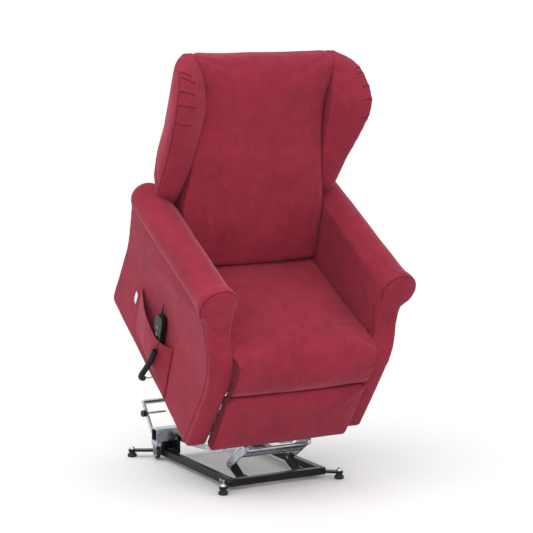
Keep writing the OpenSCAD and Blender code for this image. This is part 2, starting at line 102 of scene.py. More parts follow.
SHELL = [(-0.258, 0.036), (0.258, 0.036), (0.258, 0.372), (0.296, 0.372), (0.296, 0.770), (0.270, 0.802),
    (-0.270, 0.802), (-0.296, 0.770), (-0.296, 0.372), (-0.258, 0.372)]
SHELL_N, SHELL_T = 0.027, 0.014

POCKET_LOW = [(0.215, 0.014), (0.518, 0.058)]
POCKET_MOUTH = [(0.264, 0.211), (0.300, 0.194), (0.351, 0.187), (0.400, 0.190),
    (0.470, 0.204), (0.561, 0.220)]
# How far the pocket stands out from the arm's side at its fullest
POCKET_DEPTH = 0.0276
# The handset's end in the pocket, y and z, and how far round it the cloth stands out
HANDSET_END, HANDSET_REACH = (0.333, 0.120), 0.062

# Handset cord, one wire: straight lead, curled stretch, straight tail up to the control box
WIRE_D, CURL_D = 0.004, 0.0210
CURL_PITCH, CORD_LENGTH = 0.0052, 3.23
LEAD = [(-0.357, 0.384, 0.283), (-0.357, 0.390, 0.296), (-0.361, 0.386, 0.309), (-0.368, 0.372, 0.312),
    (-0.374, 0.354, 0.302), (-0.378, 0.336, 0.282), (-0.381, 0.320, 0.258), (-0.384, 0.307, 0.234),
    (-0.386, 0.298, 0.214)]
CURL = [(-0.386, 0.298, 0.214), (-0.387, 0.299, 0.190), (-0.388, 0.302, 0.160), (-0.388, 0.306, 0.130),
    (-0.387, 0.311, 0.100), (-0.387, 0.318, 0.068), (-0.387, 0.326, 0.038), (-0.383, 0.336, 0.011),
    (-0.371, 0.346, -0.011), (-0.348, 0.354, -0.024), (-0.318, 0.358, -0.026)]
TAIL = [(-0.318, 0.358, -0.026), (-0.300, 0.358, -0.024), (-0.282, 0.358, -0.015), (-0.266, 0.358, 0.0),
    (-0.254, 0.357, 0.020), (-0.245, 0.355, 0.042), (-0.240, 0.352, 0.068), (-0.238, 0.350, 0.094),
    (-0.238, 0.350, 0.120)]


def joint(name):
    return next(j for j in frame["joints"] if j["name"] == name)


hinge_place = Matrix.Translation(Vector(joint("recline")["pos_m"]))
BODY = hinge_place @ Matrix.Rotation(TILT, 4, "X") @ Matrix.Translation((0, -HINGE[0], -HINGE[1]))
BACK = hinge_place @ Matrix.Rotation(TILT - LEAN, 4, "X")


# ---------- camera and lights ----------

EYE, LOOKED_AT = (-3.400, -6.2295, 1.771), (-0.060, -0.2195, 0.772)
LENS, SENSOR = 138.5, 36.0

def look_at(obj, target):
    obj.rotation_mode = "QUATERNION"
    obj.rotation_quaternion = (Vector(target) - obj.location).to_track_quat("-Z", "Y")


def make_camera():
    data = bpy.data.cameras.new("camera")
    data.lens, data.sensor_width = LENS, SENSOR
    camera = bpy.data.objects.new("camera", data)
    camera.location = EYE
    look_at(camera, LOOKED_AT)
    bpy.context.scene.collection.objects.link(camera)
    bpy.context.scene.camera = camera


def area_light(name, place, target, size, watts):
    data = bpy.data.lights.new(name, "AREA")
    data.size, data.energy = size, watts
    light = bpy.data.objects.new(name, data)
    light.location = place
    look_at(light, target)
    bpy.context.scene.collection.objects.link(light)


# ---------- materials ----------

class Shader:
    """One node material, with short ways to add nodes and join them."""

    def __init__(self, name):
        self.mat = bpy.data.materials.new(name)
        self.mat.use_nodes = True
        self.tree = self.mat.node_tree
        self.bsdf = next(n for n in self.tree.nodes if n.type == "BSDF_PRINCIPLED")
        self.place = self.add("ShaderNodeTexCoord").outputs["Object"]

    def add(self, kind, **settings):
        node = self.tree.nodes.new(kind)
        for key, value in settings.items():
            setattr(node, key, value)
        return node

    def link(self, a, b):
        self.tree.links.new(a, b)

    def stretched(self, scale):
        node = self.add("ShaderNodeMapping")
        node.inputs["Scale"].default_value = scale
        self.link(self.place, node.inputs["Vector"])
        return node.outputs["Vector"]

    def noise(self, scale, detail=3, rough=0.5, vector=None):
        node = self.add("ShaderNodeTexNoise")
        node.inputs["Scale"].default_value = scale
        node.inputs["Detail"].default_value = detail
        node.inputs["Roughness"].default_value = rough
        self.link(vector or self.place, node.inputs["Vector"])
        return node.outputs["Fac"]

    def ramp(self, value, low, high, dark, light):
        node = self.add("ShaderNodeValToRGB")
        first, last = node.color_ramp.elements
        first.position, first.color = low, (*dark, 1)
        last.position, last.color = high, (*light, 1)
        self.link(value, node.inputs["Fac"])
        return node.outputs["Color"]

    def mix(self, fac, a, b):
        node = self.add("ShaderNodeMix", data_type="RGBA")
        for socket, value in ((0, fac), (6, a), (7, b)):
            if isinstance(value, (float, int)):
                node.inputs[socket].default_value = value
            elif isinstance(value, tuple):
                node.inputs[socket].default_value = (*value, 1)
            else:
                self.link(value, node.inputs[socket])
        return node.outputs[2]

    def math(self, operation, a, b):
        node = self.add("ShaderNodeMath", operation=operation)
        for socket, value in ((0, a), (1, b)):
            if isinstance(value, (float, int)):
                node.inputs[socket].default_value = value
            else:
                self.link(value, node.inputs[socket])
        return node.outputs[0]

    def spread(self, value, low, high):
        node = self.add("ShaderNodeMapRange")
        node.inputs["To Min"].default_value = low
        node.inputs["To Max"].default_value = high
        self.link(value, node.inputs["Value"])
        return node.outputs[0]

    def attribute(self, name):
        return self.add("ShaderNodeAttribute", attribute_name=name).outputs["Fac"]

    def bump(self, height, distance, strength=1.0):
        node = self.add("ShaderNodeBump")
        node.inputs["Strength"].default_value = strength
        node.inputs["Distance"].default_value = distance
        self.link(height, node.inputs["Height"])
        self.link(node.outputs["Normal"], self.bsdf.inputs["Normal"])

    def finish(self, colour, roughness, **constants):
        self.link(colour, self.bsdf.inputs["Base Color"])
        self.link(roughness, self.bsdf.inputs["Roughness"])
        for key, value in constants.items():
            self.bsdf.inputs[key.replace("_", " ")].default_value = value
        return self.mat


def microfibre():
    """Brushed burgundy microfibre: broad nap patches, short fibres, painted shade along its seams and in its
    crevices.
    """
    s = Shader("microfibre")
    nap = s.mix(0.5, s.noise(5.0, 4, 0.6), s.noise(19.0, 3, 0.6))
    brushed = s.noise(60.0, 4, 0.7, s.stretched((1.0, 0.45, 0.45)))
    fibre = s.noise(1400.0, 2, 0.6)
    tone = s.mix(0.30, nap, brushed)
    colour = s.ramp(tone, 0.365, 0.635, (0.160, 0.0107, 0.0224), (0.245, 0.0190, 0.0372))
    colour = s.mix(s.spread(fibre, 0.0, 0.22), colour, (0.34, 0.046, 0.077))
    # Painted shade: the seam attribute darkens the cloth in pressed seams, gathers, puckers and crevices
    seam = s.attribute("seam")
    colour = s.mix(s.math("MULTIPLY", seam, 0.72), colour, (0.055, 0.006, 0.010))
    height = s.math("ADD", s.math("MULTIPLY", fibre, 0.6), s.math("MULTIPLY", brushed, 1.6))
    s.bump(height, 0.0006, 0.55)
    return s.finish(colour, s.spread(nap, 0.82, 0.95), Sheen_Weight=0.26, Sheen_Roughness=0.40,
        Sheen_Tint=(1.0, 0.42, 0.55, 1), Specular_IOR_Level=0.12)


def painted(name, colour, rough):
    """Satin powder coat: fine orange-peel and slightly worn tone."""
    s = Shader(name)
    peel = s.noise(900.0, 3, 0.6)
    cloud = s.noise(14.0, 4, 0.6)
    light = tuple(min(1.0, c * 1.9 + 0.004) for c in colour)
    s.bump(peel, 0.00012, 0.5)
    roughness = s.spread(cloud, rough - 0.08, rough + 0.12)
    return s.finish(s.ramp(cloud, 0.35, 0.75, colour, light), roughness, Specular_IOR_Level=0.20)


def zinc_plate(name="zinc", dark=(0.30, 0.33, 0.37), light=(0.64, 0.67, 0.71)):
    """Zinc plating: cool, cloudy, with fine drawing lines and dull spots."""
    s = Shader(name)
    cloud = s.noise(38.0, 5, 0.65)
    lines = s.noise(260.0, 3, 0.6, s.stretched((0.12, 1.0, 1.0)))
    tone = s.mix(0.35, cloud, lines)
    s.bump(lines, 0.00008, 0.5)
    return s.finish(s.ramp(tone, 0.32, 0.68, dark, light), s.spread(cloud, 0.18, 0.42), Metallic=1.0)


def moulded(name, colour, rough, coat=0.0):
    """Moulded plastic: fine spark-erosion grain and a slightly uneven gloss."""
    s = Shader(name)
    grain = s.noise(1800.0, 2, 0.6)
    cloud = s.noise(45.0, 3, 0.5)
    light = tuple(c * 1.5 + 0.004 for c in colour)
    s.bump(grain, 0.00005, 0.4)
    roughness = s.spread(cloud, rough - 0.04, rough + 0.08)
    return s.finish(s.ramp(cloud, 0.3, 0.7, colour, light), roughness, Coat_Weight=coat,
        Coat_Roughness=0.12, Specular_IOR_Level=0.20)


def beech_wood():
    s = Shader("beech")
    grain = s.noise(26.0, 6, 0.62, s.stretched((0.16, 1.0, 3.2)))
    pore = s.noise(700.0, 2, 0.7, s.stretched((0.08, 1.0, 1.0)))
    colour = s.ramp(grain, 0.30, 0.72, (0.42, 0.25, 0.12), (0.68, 0.47, 0.27))
    colour = s.mix(s.spread(pore, 0.0, 0.25), colour, (0.30, 0.17, 0.08))
    s.bump(pore, 0.0002, 0.4)
    return s.finish(colour, s.spread(grain, 0.45, 0.65))


def woven_tag():
    s = Shader("woven_tag")
    weave = s.noise(2600.0, 2, 0.5)
    colour = s.ramp(weave, 0.35, 0.65, (0.50, 0.53, 0.60), (0.72, 0.75, 0.81))
    s.bump(weave, 0.0001, 0.6)
    return s.finish(colour, s.spread(weave, 0.6, 0.8), Sheen_Weight=0.2)


def floor_paint():
    s = Shader("floor")
    cloud = s.noise(1.5, 2, 0.5)
    colour = s.ramp(cloud, 0.3, 0.7, (0.685, 0.685, 0.685), (0.700, 0.700, 0.700))
    return s.finish(colour, s.spread(cloud, 0.7, 0.8))


CLOTH = microfibre()
BLACK_PAINT = painted("black_powder_coat", (0.0025, 0.0025, 0.003), 0.30)
ZINC = zinc_plate()
SPRING = zinc_plate("spring_steel", (0.16, 0.16, 0.17), (0.30, 0.30, 0.31))
RUBBER = moulded("rubber", (0.014, 0.014, 0.014), 0.62)
PLASTIC = moulded("black_plastic", (0.006, 0.006, 0.0065), 0.40)
GLOSS = moulded("gloss_black", (0.004, 0.004, 0.0045), 0.26, coat=0.1)
GREY = moulded("grey_plastic", (0.10, 0.10, 0.11), 0.45)
WIRE = moulded("cord_black", (0.004, 0.004, 0.004), 0.36)
WOOD = beech_wood()
TAG = woven_tag()
HUB = moulded("hub_grey", (0.50, 0.51, 0.53), 0.35)


# ---------- mesh helpers ----------

def coords(mesh):
    flat = np.empty(len(mesh.vertices) * 3)
    mesh.vertices.foreach_get("co", flat)
    return flat.reshape(-1, 3)


def set_coords(mesh, co):
    mesh.vertices.foreach_set("co", np.asarray(co, float).ravel())
    mesh.update()


def normals_of(mesh):
    flat = np.empty(len(mesh.vertices) * 3)
    mesh.vertex_normals.foreach_get("vector", flat)
    return flat.reshape(-1, 3)


def new_object(name, verts, faces):
    mesh = bpy.data.meshes.new(name)
    mesh.from_pydata([tuple(v) for v in verts], [], faces)
    mesh.validate()
    obj = bpy.data.objects.new(name, mesh)
    bpy.context.scene.collection.objects.link(obj)
    return obj


def apply_modifiers(obj):
    graph = bpy.context.evaluated_depsgraph_get()
    mesh = bpy.data.meshes.new_from_object(obj.evaluated_get(graph))
    old = obj.data
    obj.modifiers.clear()
    obj.data = mesh
    bpy.data.meshes.remove(old)
    mesh.name = obj.name
    return obj


def joined(name, parts):
    """One object from several meshes."""
    verts, faces = [], []
    for part in parts:
        start = len(verts)
        verts += [tuple(v.co) for v in part.data.vertices]
        faces += [[start + i for i in p.vertices] for p in part.data.polygons]
        mesh = part.data
        bpy.data.objects.remove(part)
        bpy.data.meshes.remove(mesh)
    return new_object(name, verts, faces)


def remeshed(obj, voxel, smooth):
    change = obj.modifiers.new("remesh", "REMESH")
    change.mode, change.voxel_size = "VOXEL", voxel
    soft = obj.modifiers.new("smooth", "SMOOTH")
    soft.factor, soft.iterations = 0.5, smooth
    return apply_modifiers(obj)


def subdivided(obj):
    change = obj.modifiers.new("subdivide", "SUBSURF")
    change.levels = change.render_levels = 1
    return apply_modifiers(obj)


def resampled(points, step, closed):
    p = np.array(points, float)
    if closed:
        p = np.vstack([p, p[:1]])
    length = np.concatenate([[0], np.cumsum(np.linalg.norm(np.diff(p, axis=0), axis=1))])
    count = max(4, int(round(length[-1] / step)))
    at = np.linspace(0, length[-1], count + 1)
    if closed:
        at = at[:-1]
    return np.stack([np.interp(at, length, p[:, k]) for k in range(p.shape[1])], 1)


def cut_corners(points, rounds, closed=True, limit=0.014):
    """Rounds the corners: each cut takes a quarter of an edge, or the limit where that is shorter."""
    p = np.array(points, float)
    for _ in range(rounds):
        after = np.roll(p, -1, 0) if closed else p[1:]
        before = p if closed else p[:-1]
        length = np.linalg.norm(after - before, axis=1)[:, None]
        f = np.minimum(0.25, limit / np.maximum(length, 1e-9))
        q = np.stack([(1 - f) * before + f * after, f * before + (1 - f) * after], 1).reshape(-1, p.shape[1])
        p = q if closed else np.vstack([p[:1], q, p[-1:]])
        limit *= 0.4
    return p


def outward(ring):
    """Outward normals of a closed outline, whichever way round it runs."""
    along = np.roll(ring, -1, 0) - np.roll(ring, 1, 0)
    normal = np.stack([along[:, 1], -along[:, 0]], 1)
    normal /= np.linalg.norm(normal, axis=1)[:, None]
    area = np.sum(ring[:, 0] * np.roll(ring[:, 1], -1) - np.roll(ring[:, 0], -1) * ring[:, 1])
    return normal if area > 0 else -normal


def pad_solid(name, outline, x0, x1, edge, crown=0.0, shrink=0.0, rounds=2, step=0.008):
    """Closed pad from an outline drawn across X: rounded at both ends, crowned in the middle."""
    ring = resampled(cut_corners(outline, rounds), step, True)
    normal = outward(ring)
    middle, half = (x0 + x1) / 2, (x1 - x0) / 2
    curve = [half - edge * (1 - math.cos(a)) for a in np.linspace(0, math.pi / 2, 7)]
    flat = list(np.linspace(-curve[-1], curve[-1], max(2, int(2 * curve[-1] / step))))
    stations = [-c for c in curve[:-1]] + flat + curve[-2::-1]
    verts, faces = [], []
    for x in stations:
        gap = edge - (half - abs(x))
        inset = edge - math.sqrt(max(edge * edge - gap * gap, 0)) if gap > 0 else 0
        inset += crown * (x / half) ** 2 + shrink
        verts += [(middle + x, p[0], p[1]) for p in ring - normal * inset]
    n = len(ring)
    for i in range(len(stations) - 1):
        for k in range(n):
            faces.append([i * n + k, i * n + (k + 1) % n, (i + 1) * n + (k + 1) % n, (i + 1) * n + k])
    faces += [list(range(n)), list(range(len(verts) - 1, len(verts) - n - 1, -1))]
    return new_object(name, verts, faces)


def lathed(name, profile, start, way, sides=48):
    """Solid of revolution: profile gives (distance along, radius); start and way set its axis."""
    turn = Vector(way).to_track_quat("Z", "Y").to_matrix()
    verts, faces = [], []
    for along, radius in profile:
        for k in range(sides):
            a = 2 * math.pi * k / sides
            verts.append(Vector(start) + turn @ Vector((radius * math.cos(a), radius * math.sin(a), along)))
    for i in range(len(profile) - 1):
        for k in range(sides):
            faces.append([i * sides + k, i * sides + (k + 1) % sides,
                (i + 1) * sides + (k + 1) % sides, (i + 1) * sides + k])
    last = (len(profile) - 1) * sides
    faces += [list(range(sides - 1, -1, -1)), list(range(last, last + sides))]
    return new_object(name, verts, faces)


def mirrored(obj, name):
    copy = bpy.data.objects.new(name, obj.data.copy())
    bpy.context.scene.collection.objects.link(copy)
    co = coords(copy.data)
    co[:, 0] *= -1
    set_coords(copy.data, co)
    copy.data.flip_normals()
    return copy


def distance_to(co, line):
    """Distance of each point to a polyline, both with the same number of axes."""
    best = np.full(len(co), 1e9)
    for a, b in zip(line[:-1], line[1:]):
        d = b - a
        t = np.clip(((co - a) @ d) / max(d @ d, 1e-12), 0, 1)
        best = np.minimum(best, np.linalg.norm(co - (a + t[:, None] * d), axis=1))
    return best


def onto(obj, line):
    """The line's points moved to the nearest places on the surface."""
    tree = BVHTree.FromPolygons([v.co for v in obj.data.vertices], [p.vertices[:] for p in obj.data.polygons])
    return [tuple(tree.find_nearest(Vector(p))[0]) for p in line]


def carve(obj, line, width, depth, axes=(0, 1, 2), where=None, painted_shade=1.0, ridge=0.0):
    """Presses a seam or crease into the surface, measured on the given axes, where the test allows it, and paints
    shade along it.
    """
    mesh = obj.data
    co, normal = coords(mesh), normals_of(mesh)
    chosen = np.ones(len(co), bool) if where is None else where(co, normal)
    line = np.array(onto(obj, line) if len(axes) == 3 else line, float)
    low, high = line.min(0) - 5 * width, line.max(0) + 5 * width
    picked = co[:, axes]
    chosen &= np.all((picked > low) & (picked < high), axis=1)
    index = np.nonzero(chosen)[0]
    far = distance_to(picked[index], line)
    fall = np.exp(-(far / width) ** 2)
    proud = ridge * np.exp(-((far - 2.1 * width) / width) ** 2)
    co[index] -= normal[index] * (depth * fall - proud)[:, None]
    set_coords(mesh, co)
    # Painted shade along the pressed line, kept in the seam attribute that darkens the cloth
    if "seam" not in mesh.attributes:
        mesh.attributes.new("seam", "FLOAT", "POINT")
    shade = np.zeros(len(co), np.float32)
    mesh.attributes["seam"].data.foreach_get("value", shade)
    shade[index] = np.maximum(shade[index], painted_shade * np.exp(-(far / (0.62 * width)) ** 2))
    mesh.attributes["seam"].data.foreach_set("value", shade)


def darkened(obj, amount):
    """Shades a crevice: the amount, 0 to 1 for each point, adds to the seams' shade."""
    mesh = obj.data
    if "seam" not in mesh.attributes:
        mesh.attributes.new("seam", "FLOAT", "POINT")
    shade = np.zeros(len(mesh.vertices), np.float32)
    mesh.attributes["seam"].data.foreach_get("value", shade)
    mesh.attributes["seam"].data.foreach_set("value", np.maximum(shade, amount).astype(np.float32))


def relaxed(obj, picked, rounds):
    """Evens out the surface where the points are picked."""
    group = obj.vertex_groups.new(name="relaxed")
    group.add([int(i) for i in np.nonzero(picked)[0]], 1.0, "REPLACE")
    soft = obj.modifiers.new("relax", "SMOOTH")
    soft.factor, soft.iterations, soft.vertex_group = 0.5, rounds, group.name
    obj = apply_modifiers(obj)
    obj.vertex_groups.clear()
    return obj


def waved(obj, size, amount, seed):
    """Broad, shallow unevenness of stuffed cloth."""
    mesh = obj.data
    co, normal = coords(mesh), normals_of(mesh)
    lift = np.array([noise.noise(Vector(p) / size + Vector((seed, 0, 0))) for p in co])
    set_coords(mesh, co + normal * (lift * amount)[:, None])


def swollen(obj, pressure, cap, held):
    """Cloth simulation: the cover swells under pressure; held picks the points that stay."""
    mesh = obj.data
    start = coords(mesh)
    group = obj.vertex_groups.new(name="held")
    group.add([int(i) for i in np.nonzero(held(start))[0]], 1.0, "REPLACE")
    cloth = obj.modifiers.new("cloth", "CLOTH")
    rules = cloth.settings
    rules.quality = 4
    rules.mass = 0.3
    rules.tension_stiffness = rules.compression_stiffness = 18
    rules.shear_stiffness = 8
    rules.bending_stiffness = 1.5
    rules.use_pressure = True
    rules.uniform_pressure_force = pressure
    rules.effector_weights.gravity = 0
    rules.vertex_group_mass = group.name
    cloth.point_cache.frame_start, cloth.point_cache.frame_end = 1, SIM_STEPS
    for step in range(1, SIM_STEPS + 1):
        bpy.context.scene.frame_set(step)
    graph = bpy.context.evaluated_depsgraph_get()
    moved = obj.evaluated_get(graph).to_mesh()
    shift = coords(moved) - start
    obj.evaluated_get(graph).to_mesh_clear()
    obj.modifiers.clear()
    bpy.context.scene.frame_set(1)
    size = np.linalg.norm(shift, axis=1)[:, None]
    set_coords(mesh, start + shift * (cap * np.tanh(size / cap) / np.maximum(size, 1e-9)))
    obj.vertex_groups.clear()


def placed(obj, matrix, body, material, stands_for=()):
    """Last step of a piece: into the object's frame, on to its body, with its finish."""
    obj.data.transform(matrix)
    obj.data.materials.clear()
    obj.data.materials.append(material)
    obj.data.polygons.foreach_set("use_smooth", [True] * len(obj.data.polygons))
    obj.data.update()
    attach(obj, body)
    if stands_for:
        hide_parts(*stands_for)


# ---------- cord ----------

def through(points, steps):
    """Catmull-Rom curve through the points."""
    p = np.array(points, float)
    p = np.vstack([2 * p[0] - p[1], p, 2 * p[-1] - p[-2]])
    out = []
    for i in range(1, len(p) - 2):
        for t in np.linspace(0, 1, steps, endpoint=False):
            a, b, c, d = p[i - 1 : i + 3]
            out.append(0.5 * (2 * b + (c - a) * t + (2 * a - 5 * b + 4 * c - d) * t * t
                + (3 * b - a - 3 * c + d) * t ** 3))
    return np.vstack([out, p[-2:-1]])


def curled(points, radius, pitch, per_turn=16, ease=2.0, stretch=11.0):
    """Helix of the given pitch along a route, opening and closing over its first and last turns."""
    step = 0.001
    route = resampled(through(points, 12), step, False)
    tangent = np.gradient(route, axis=0)
    tangent /= np.linalg.norm(tangent, axis=1)[:, None]
    side = [Vector((0, 1, 0))]
    for t in tangent:
        t = Vector(t)
        side.append((side[-1] - t * side[-1].dot(t)).normalized())
    side = np.array(side[1:])
    other = np.cross(tangent, side)
    turns = int(step * (len(route) - 1) / pitch)
    # Towards both ends the coil narrows and the wire runs further along in each turn
    share = np.arange(turns * per_turn + 1) / per_turn
    opening = np.clip(np.minimum(share, turns - share) / ease, 0, 1)
    advance = 1 + stretch * (1 - opening) ** 1.2
    along = np.concatenate([[0], np.cumsum((advance[1:] + advance[:-1]) / 2)])
    along *= (len(route) - 1) / along[-1]
    out = []
    for turn, opened, at in zip(share, opening, along):
        r = radius * opened * opened * (3 - 2 * opened)
        i = min(int(at), len(route) - 2)
        f = at - i
        centre = route[i] * (1 - f) + route[i + 1] * f
        a = 2 * math.pi * turn
        out.append(centre + r * (math.cos(a) * side[i] + math.sin(a) * other[i]))
    return np.array(out)


def make_cord():
    curl = curled(CURL, CURL_D / 2 - WIRE_D / 2, CURL_PITCH)
    line = np.vstack([through(LEAD, 6)[:-1], curl, through(TAIL, 6)[1:]])
    line = np.array([BODY @ Vector(p) for p in line])
    data = bpy.data.curves.new("handset_cord", "CURVE")
    data.dimensions, data.bevel_depth, data.bevel_resolution = "3D", WIRE_D / 2, 2
    data.use_fill_caps = True
    spline = data.splines.new("POLY")
    spline.points.add(len(line) - 1)
    spline.points.foreach_set("co", np.hstack([line, np.ones((len(line), 1))]).ravel())
    spline.use_smooth = True
    data.materials.append(WIRE)
    cord = bpy.data.objects.new("handset_cord", data)
    bpy.context.scene.collection.objects.link(cord)
    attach(cord, "chair")
    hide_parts("cord_lead", "cord_curl", "cord_tail")


make_camera()
make_cord()


# ---------- arms ----------

def roll_axis():
    a, b = np.array(ROLL_FRONT), np.array(ROLL_REAR)
    way = b - a
    return a, way / np.linalg.norm(way), float(np.linalg.norm(way))


def lean_in(z):
    return np.interp(z, *zip(*LEAN_IN))


def make_arms():
    front, way, length = roll_axis()
    slab = pad_solid("slab", ARM_EDGE + ARM_REAR, ARM_INNER, ARM_OUTER, 0.010, rounds=1)
    co = coords(slab.data)
    fixed_x = ARM_OUTER - 0.020
    near = np.clip((0.060 - co[:, 1]) / 0.040, 0, 1) * lean_in(co[:, 2])
    co[:, 0] -= near * np.clip((fixed_x - co[:, 0]) / (fixed_x - ARM_INNER), 0, 1)
    axis_z = front[1] + (co[:, 1] - front[0]) * way[1] / way[0]
    rise = np.clip((co[:, 2] - FLARE_FROM) / (axis_z - UNDER_ROLL - FLARE_FROM), 0, 1)
    co[:, 0] += FLARE * rise ** 1.5 * (co[:, 0] - ARM_INNER) / (ARM_OUTER - ARM_INNER)
    set_coords(slab.data, co)
    dome = [(0.008 - 0.015 * math.sin(a), (SCROLL_R - 0.006) * math.cos(a))
        for a in np.linspace(1.45, 0.15, 8)]
    profile = dome + [(0.006, SCROLL_R - 0.002), (0.012, SCROLL_R + 0.001), (0.032, SCROLL_R),
        (0.060, ROLL_R + 0.004), (0.100, ROLL_R + 0.001), (length * 0.5, ROLL_R),
        (length - 0.034, ROLL_R), (length - 0.014, ROLL_R - 0.006),
        (length - 0.003, ROLL_R - 0.018), (length, ROLL_R - 0.034)]
    roll = lathed("roll", profile, (ROLL_X, *front), (0, *way), 64)
    arm = remeshed(joined("arm_left", [slab, roll]), 0.0062, 4)
    # The outer side is flat low down and sweeps out to the roll
    co = coords(arm.data)
    above = co[:, 2] - (front[1] + (co[:, 1] - front[0]) * way[1] / way[0])
    rise = np.clip((co[:, 2] - FLARE_FROM) / (co[:, 2] - above - UNDER_ROLL - FLARE_FROM), 0, 1)
    limit = np.where(rise < 1, ARM_OUTER + FLARE * rise ** 1.5 + 0.006 * rise ** 6, 1.0)
    co[:, 0] = np.minimum(co[:, 0], limit)
    set_coords(arm.data, co)
    arm = relaxed(arm, (co[:, 0] < 0.322) & (above > -0.020) & (co[:, 1] > front[0] + 0.030), 26)
    arm = subdivided(arm)
    co, normal = coords(arm.data), normals_of(arm.data)
    # Painted shade in the crevice where the arm's inner front facing meets the seat
    inner = ARM_INNER - lean_in(co[:, 2]) * np.clip((0.060 - co[:, 1]) / 0.040, 0, 1)
    crevice = (co[:, 0] < inner + 0.002) & (co[:, 1] < 0.10) & (co[:, 2] < 0.40)
    darkened(arm, 0.85 * (crevice & (normal[:, 0] < -0.8)))
    waved(arm, 0.16, 0.0022, 3.0)
    waved(arm, 0.05, 0.0006, 8.0)
    outer = lambda co, n: co[:, 0] > 0.330
    # Seam under the roll, on its outer side, from the scroll to the rear end, with painted shade along it
    down = np.array([0, way[1], -way[0]])
    axis = lambda t: np.array([ROLL_X, *(front + way * t)])
    under = [axis(t) + (ROLL_R - 0.002) * (math.cos(0.82) * np.array([1, 0, 0]) + math.sin(0.82) * down)
        for t in np.linspace(0.016, length - 0.010, 40)]
    carve(arm, under, 0.0044, 0.0042, where=outer)
    # Seams between the front facing and the two sides of the panel, with painted shade along them
    facing = cut_corners([(y + PAD_T - 0.004, z) for y, z in ARM_EDGE[:-2]], 2, closed=False)
    carve(arm, facing, 0.0038, 0.0032, axes=(1, 2), where=outer, painted_shade=0.8)
    carve(arm, facing, 0.0040, 0.0026, axes=(1, 2), where=lambda co, n: co[:, 0] < 0.286)
    # Seam round the top of the scroll's face, with painted shade along it
    circle = [axis(0.004) + (SCROLL_R - 0.001) * (math.cos(a) * np.array([1, 0, 0]) - math.sin(a) * down)
        for a in np.linspace(-0.9, math.pi + 0.5, 60)]
    carve(arm, circle, 0.0034, 0.0030)
    # Gathers where the facing is eased round the scroll, with painted shade in their folds
    face = lambda co, n: (n[:, 1] < -0.2) & (co[:, 1] < 0.13)
    scroll_low = 0.492
    for drop, x0, x1, bow in ((0.008, 0.302, 0.350, 0.005), (0.018, 0.294, 0.346, 0.006),
            (0.029, 0.306, 0.338, 0.004)):
        line = [(x, scroll_low - drop - bow * math.sin(math.pi * (x - x0) / (x1 - x0)))
            for x in np.linspace(x0, x1, 12)]
        carve(arm, line, 0.0034, 0.0022, axes=(0, 2), where=face, painted_shade=0.35, ridge=0.0010)
    right = mirrored(arm, "arm_right")
    for obj, side in ((arm, "left"), (right, "right")):
        placed(obj, BODY, "chair", CLOTH,
            [f"side_panel_{side}", f"arm_front_{side}", f"arm_roll_{side}"])


# ---------- seat, footrest and back ----------

def make_seat():
    seat = pad_solid("seat", SEAT_SIDE, -SEAT_X, SEAT_X, 0.020, crown=0.004, shrink=0.001, rounds=2)
    seat = remeshed(seat, 0.0065, 3)
    swollen(seat, 4.0, 0.022, lambda co:
        (co[:, 2] < 0.275) | (co[:, 1] > 0.46) | (np.abs(co[:, 0]) > SEAT_X - 0.004))
    seat = subdivided(seat)
    co = coords(seat.data)
    limit = SEAT_X + 0.001 - (lean_in(co[:, 2]) + 0.001) * np.clip((0.050 - co[:, 1]) / 0.040, 0, 1)
    co[:, 0] = np.clip(co[:, 0], -limit, limit)
    set_coords(seat.data, co)
    # Painted shade on the seat's sides and underside, where it meets the arms and the footrest
    normal = normals_of(seat.data)
    darkened(seat, np.maximum(0.75 * (np.abs(normal[:, 0]) > 0.80), 0.75 * (normal[:, 2] < -0.55)))
    waved(seat, 0.13, 0.0024, 5.0)
    waved(seat, 0.045, 0.0007, 1.0)
    # Puckers where the cover is eased round the front corners, with painted shade in their folds
    for side in (-1, 1):
        for z, size in ((0.386, 0.018), (0.352, 0.019), (0.304, 0.014)):
            edge = SEAT_X - lean_in(z)
            line = [(side * (edge + 0.002), z), (side * (edge - size * 0.5), z - 0.003),
                (side * (edge - size), z - 0.009)]
            carve(seat, line, 0.0032, 0.0024, axes=(0, 2), painted_shade=0.30, ridge=0.0006,
                where=lambda co, n: (n[:, 1] < 0.1) & (co[:, 1] < 0.03))
    placed(seat, BODY, "chair", CLOTH, ["seat_cushion"])


def make_footrest():
    pad = pad_solid("footrest_cover", FOOT_SIDE, -FOOT_X, FOOT_X, 0.009, rounds=1, step=0.005)
    co = coords(pad.data)
    # Rounded lower corners
    near = np.maximum(0, np.abs(co[:, 0]) - (FOOT_X - 0.014)) / 0.014
    co[:, 2] = np.maximum(co[:, 2], 0.002 + 0.008 * (1 - np.sqrt(np.maximum(0, 1 - near ** 2))))
    set_coords(pad.data, co)
    pad = remeshed(pad, 0.0050, 3)
    swollen(pad, 3.0, 0.006, lambda co: (co[:, 1] > -0.018) | (co[:, 2] < 0.020))
    pad = subdivided(pad)
    co = coords(pad.data)
    on_board = (np.abs(co[:, 0]) < 0.2632) & (co[:, 2] > 0.0145) & (co[:, 2] < 0.2415)
    co[:, 1] = np.where(on_board, np.minimum(co[:, 1], -0.0081), co[:, 1])
    set_coords(pad.data, co)
    # Painted shade on the footrest's sides and along its top edge under the seat
    normal = normals_of(pad.data)
    darkened(pad, 0.85 * ((np.abs(normal[:, 0]) > 0.75) | ((normal[:, 2] > 0.75) & (co[:, 2] > 0.24))))
    waved(pad, 0.12, 0.0014, 9.0)
    placed(pad, BODY, "footrest", CLOTH, ["footrest_pad"])


